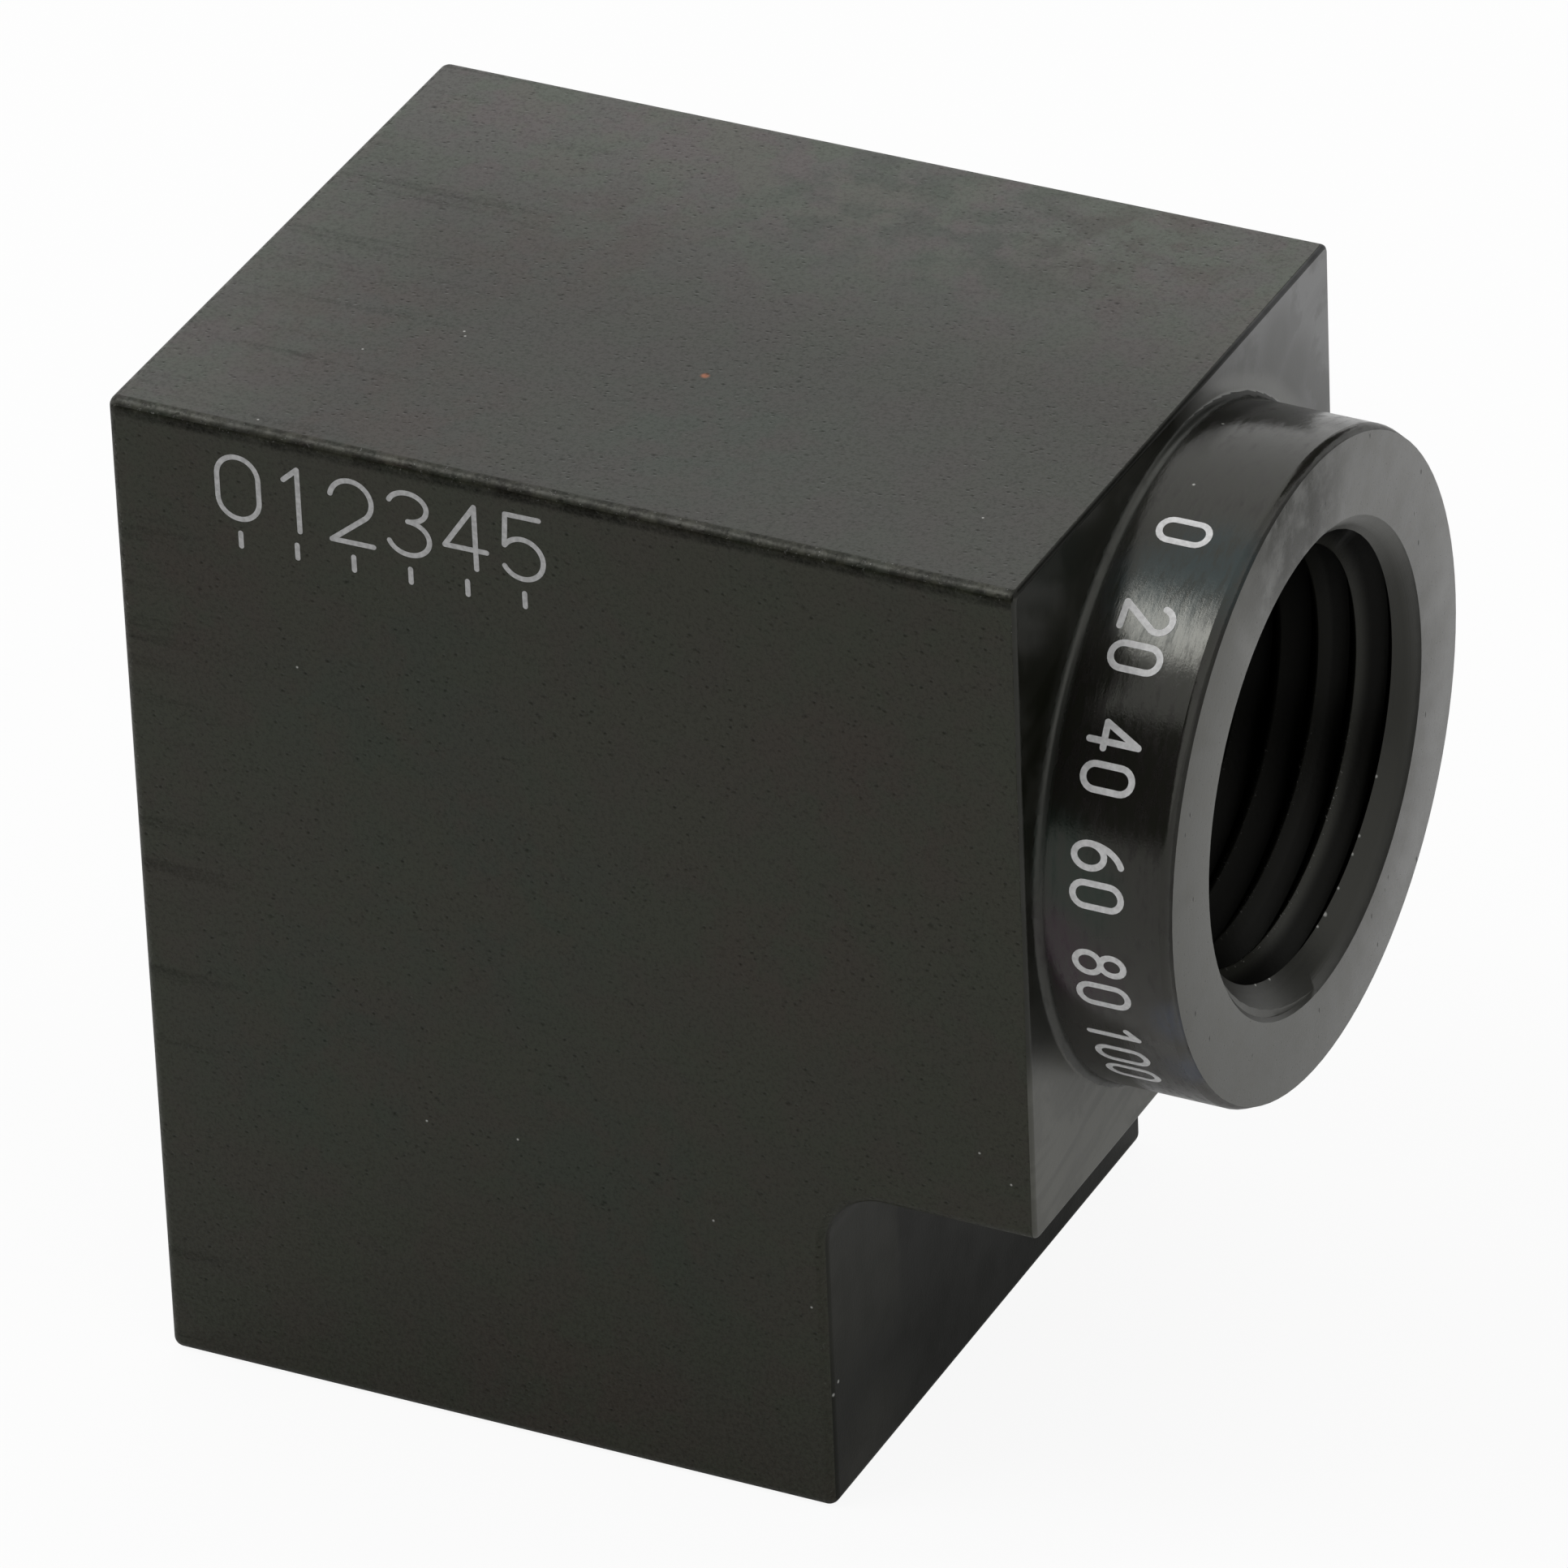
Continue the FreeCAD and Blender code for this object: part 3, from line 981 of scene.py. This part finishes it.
f = Finish("turned_face")
rings = f.lines(f.axis_distance(), 5.0)
grain = f.noise(f.place, 8.0, 4.0, 0.7)
cloud = f.noise(f.place, 0.7, 4.0, 0.65)
smudge = f.spot((FACE_X, -1.2, 35.6), 3.2) * f.between(cloud, 0.25, 0.60)
scattered = f.stretched(f.place, (1.0, 1.6, 0.7))
away = f.node("TexVoronoi", {}, {"Vector": scattered, "Scale": 0.8})
nicks = f.between(away, 0.075, 0.03) | f.spot((FACE_X, -2.55, 36.6), 0.22)
colour = f.mix(f.between(f.y, -4.0, 8.0), NEAR_OXIDE, FAR_OXIDE)
colour = f.mix(f.between(cloud, 0.35, 0.70) * 0.3, colour, CLOUD_OXIDE)
face_finish = f.finish(colour, 0.22 + grain * 0.16, rings * 0.002 + grain * 0.006 - nicks * 0.02,
                       smudge * 0.45 | nicks * 0.5)

# %% [markdown]
# ### The countersink
#
# The countersink has a coarse tool's rings. It is painted paler at the top and at the low front,
# as lit, and darker low at the back with painted shade. Where the thread's first turn breaks into
# it, the steel is torn, and bright burrs stand along the edge, each set at its own place.

# %% Countersink
SUNK_OXIDE, LIT_SUNK_OXIDE = (0.004, 0.004, 0.002, 1), (0.060, 0.060, 0.054, 1)
BURRS = [(24.53, -3.04, 18.51), (24.55, -1.98, 18.11), (24.62, 1.80, 18.00),
         (24.65, 3.46, 18.56), (24.67, 4.62, 19.25), (24.69, 5.16, 19.67), (24.73, 6.56, 21.24)]
LARGEST_BURR = (24.63, 2.39, 18.15)

f = Finish("countersink")
rings = f.lines(f.axis_distance(), 7.0)
grain = f.noise(f.place, 9.0, 4.0, 0.7)
# Painted light at the top and the low front, and painted shade low at the back.
lit_low_front = f.between(f.z, 21.0, 16.5) * f.between(f.y, 3.0, -5.0)
sunk_shade = f.between(f.y, -3.0, 4.0) * f.between(f.z, 27.0, 22.0) * 0.15
colour = f.mix(f.between(f.z, 28.0, 32.0) | lit_low_front * 0.45, SUNK_OXIDE, LIT_SUNK_OXIDE)
colour = f.mix(f.spots(BURRS, 0.05) | f.spot(LARGEST_BURR, 0.08), colour, BARE)
sunk_finish = f.finish(colour, 0.26 + rings * 0.12 + grain * 0.08,
                       rings * 0.006 + grain * 0.004, sunk_shade)

# %% [markdown]
# ### The threads
#
# The roots of the thread are painted nearly black as shade, since the crests beside them keep out
# the light, and the crests are painted a little paler as lit; their lower edges keep fine burrs.
# The first turn at the mouth is painted paler still, as lit. Both ports share one finish, so the
# distance from whichever axis is near tells crest from root. Little light gets past the second
# turn, so painted shade, through the dull shader, grows with depth.

# %% Threads
SHADED_ROOT_OXIDE, LIT_CREST_OXIDE = (0.0025, 0.0025, 0.0020, 1), (0.018, 0.018, 0.014, 1)
ROOT_R, CREST_R = 7.95, 7.38
PORTS_PART_X = 8.7

f = Finish("tapped_bore")
in_side = f.between(f.x, PORTS_PART_X, PORTS_PART_X + 0.3)
leg_distance = (f.x * f.x + f.y * f.y).maths("SQRT")
distance = f.axis_distance() * in_side + leg_distance * (1 - in_side)
# Painted light on the first turn and the crests, painted shade in the roots and with depth.
lit_first_turn = f.between(f.x, 24.6, 25.1)
lit_crest = f.between(distance, ROOT_R, CREST_R) | lit_first_turn
shaded_deep = f.between(f.x, 24.2, 21.6)
grain = f.noise(f.place, 5.0, 4.0, 0.65)
low_side = f.between(f.z, PORT_Z - 1.0, PORT_Z - 5.0)
burr = f.between(distance, 7.48, 7.40) * f.patches(8.0, 0.61, 0.68, 3.0, 0.75) * low_side
colour = f.mix(lit_crest * 0.8, SHADED_ROOT_OXIDE, LIT_CREST_OXIDE)
colour = f.mix(lit_first_turn, colour, LIT_SUNK_OXIDE)
colour = f.mix(burr, colour, BARE)
bore_finish = f.finish(colour, 0.30 + grain * 0.10, grain * 0.008,
                       (1 - lit_crest) * 0.72 | shaded_deep * 0.86, 1.40)

# %% [markdown]
# ### The laser's lines
#
# Where the black is gone, the steel is pale and matt, and a little uneven. The lines on the boss
# were burnt deeper, and are paler.

# %% Etched lines
def etched(name, pale, dark):
    """Pale matt steel between two greys."""
    f = Finish(name)
    mottle = f.noise(f.place, 6.0, 3.0)
    colour = f.mix(f.between(mottle, 0.3, 0.7), (pale, pale, pale, 1), (dark, dark, dark, 1))
    return f.finish(colour, 0.55 + mottle * 0.1, mottle * 0.004)


scale_marks.data.materials.append(etched("etched_lines", 0.58, 0.44))
angle_marks.data.materials.append(etched("etched_deeper", 0.82, 0.66))

# %% [markdown]
# A mesh keeps its materials in a list, and each face holds the number of its own. The finishes go
# on in the order of the numbers that the faces were sorted by.

# %% Finishes onto the body
body.data.materials.clear()
for finish in (front_skin, top_skin, shoulder_finish, notch_finish,
               boss_finish, face_finish, sunk_finish, bore_finish):
    body.data.materials.append(finish)
body.data.polygons.foreach_set("material_index", finish_of_face.astype(np.int32))
print("materials on the body:", [material.name for material in body.data.materials])

# %% [markdown]
# ## The studio
#
# The photograph has a pure white ground and no shadow. Here the floor is a real pale floor, lit by
# the lamps. Most of what the camera sees of it is plain white, so that a faint shadow stays under
# the part, and reflections see a little of that white too. The world is treated the same way.

# %% Floor and world
FLOOR_HALF = 3000.0
FLOOR_GREY = (0.80, 0.80, 0.80, 1)
FLOOR_WHITE = 1.02
WORLD_LEVEL = 0.75
WHITE = (1, 1, 1, 1)


def show(g, output, lit, white, to_camera, to_reflection):
    """Ends a graph with a mix: the share of plain white that the camera sees, and reflections."""
    path = g.node("LightPath", out="Is Camera Ray")
    gloss = path.output("Is Glossy Ray") + path.output("Is Transmission Ray")
    share = path * to_camera + gloss * to_reflection
    surface = g.node("MixShader", {}, {0: share, 1: lit, 2: white})
    g.node(output, {}, {"Surface": surface})


corners = FLOOR_HALF * np.array([[-1, -1, 0], [1, -1, 0], [1, 1, 0], [-1, 1, 0]])
studio_floor = new_object("studio_floor", corners, [[0, 1, 2, 3]])
pale = bpy.data.materials.new("pale_floor")
pale.use_nodes = True
g = Graph(pale.node_tree)
paper = g.node("BsdfDiffuse", {}, {"Color": FLOOR_GREY})
white = g.node("Emission", {}, {"Color": WHITE, "Strength": FLOOR_WHITE})
show(g, "OutputMaterial", paper, white, 0.9, 0.10)
studio_floor.data.materials.append(pale)

world = bpy.data.worlds.new("studio")
bpy.context.scene.world = world
world.use_nodes = True
g = Graph(world.node_tree)
dome = g.node("Background", {}, {"Color": WHITE, "Strength": WORLD_LEVEL})
white = g.node("Background", {}, {"Color": WHITE, "Strength": 1.0})
show(g, "OutputWorld", dome, white, 1.0, 1.0)
print("floor", 2 * FLOOR_HALF * MM, "m wide, world at", WORLD_LEVEL)

# %% [markdown]
# Two lamps and three cards make the light. A low wide softbox at the front left gives the bright
# band on the boss. A soft lamp overhead and behind gives the top its sheen. An area lamp shines
# along its own -Z axis, so it is turned until +Z points away from the part.

# %% Lamps
AIM_HEIGHT_M = 0.02


def lamp(name, direction, distance, wide, high, energy):
    """Area lamp in that direction from the part, facing it. Distance and sizes are in metres."""
    data = bpy.data.lights.new(name, "AREA")
    data.shape = "RECTANGLE"
    data.size, data.size_y, data.energy = wide, high, energy
    made = bpy.data.objects.new(name, data)
    towards = Vector(direction).normalized()
    facing = towards.to_track_quat("Z", "Y").to_matrix().to_4x4()
    aim = Vector((0, 0, AIM_HEIGHT_M))
    made.matrix_world = Matrix.Translation(aim + towards * distance) @ facing
    bpy.context.scene.collection.objects.link(made)


lamp("softbox", (-0.39, -0.305, 0.87), 0.6, 0.22, 0.15, 0.75)
lamp("overhead", (0.1, 0.6, 0.8), 0.9, 0.8, 0.8, 0.6)
print("lamps:", [light.name for light in bpy.data.lights])

# %% [markdown]
# A glossy black thing shows what stands round it, so a photographer shapes it with black cards.
# The two at the front give the boss and the bevel their dark bands. The one at the back right
# draws the dark line along the edge between the top and the shoulder. The camera itself doesn't
# see them.

# %% Cards
CARD_BLACK = (0.03, 0.03, 0.03, 1)


def card(name, outline_mm, low_mm, high_mm):
    """Upright black card along a line of floor points, hidden from the camera itself."""
    foot = [(x, y, low_mm) for x, y in outline_mm]
    head = [(x, y, high_mm) for x, y in reversed(outline_mm)]
    made = new_object(name, foot + head, [range(len(foot) + len(head))])
    made.visible_camera = False
    black = bpy.data.materials.new(name)
    black.use_nodes = True
    g = Graph(black.node_tree)
    g.node("OutputMaterial", {}, {"Surface": g.node("BsdfDiffuse", {}, {"Color": CARD_BLACK})})
    made.data.materials.append(black)


card("front_card_left", [(-620, -330), (60, -560)], 10, 400)
card("front_card_right", [(60, -560), (640, -600)], 10, 880)
card("back_card", [(60, 520), (420, 380)], 60, 420)
bpy.context.scene.view_settings.view_transform = "Standard"
print("three cards stand round the part")
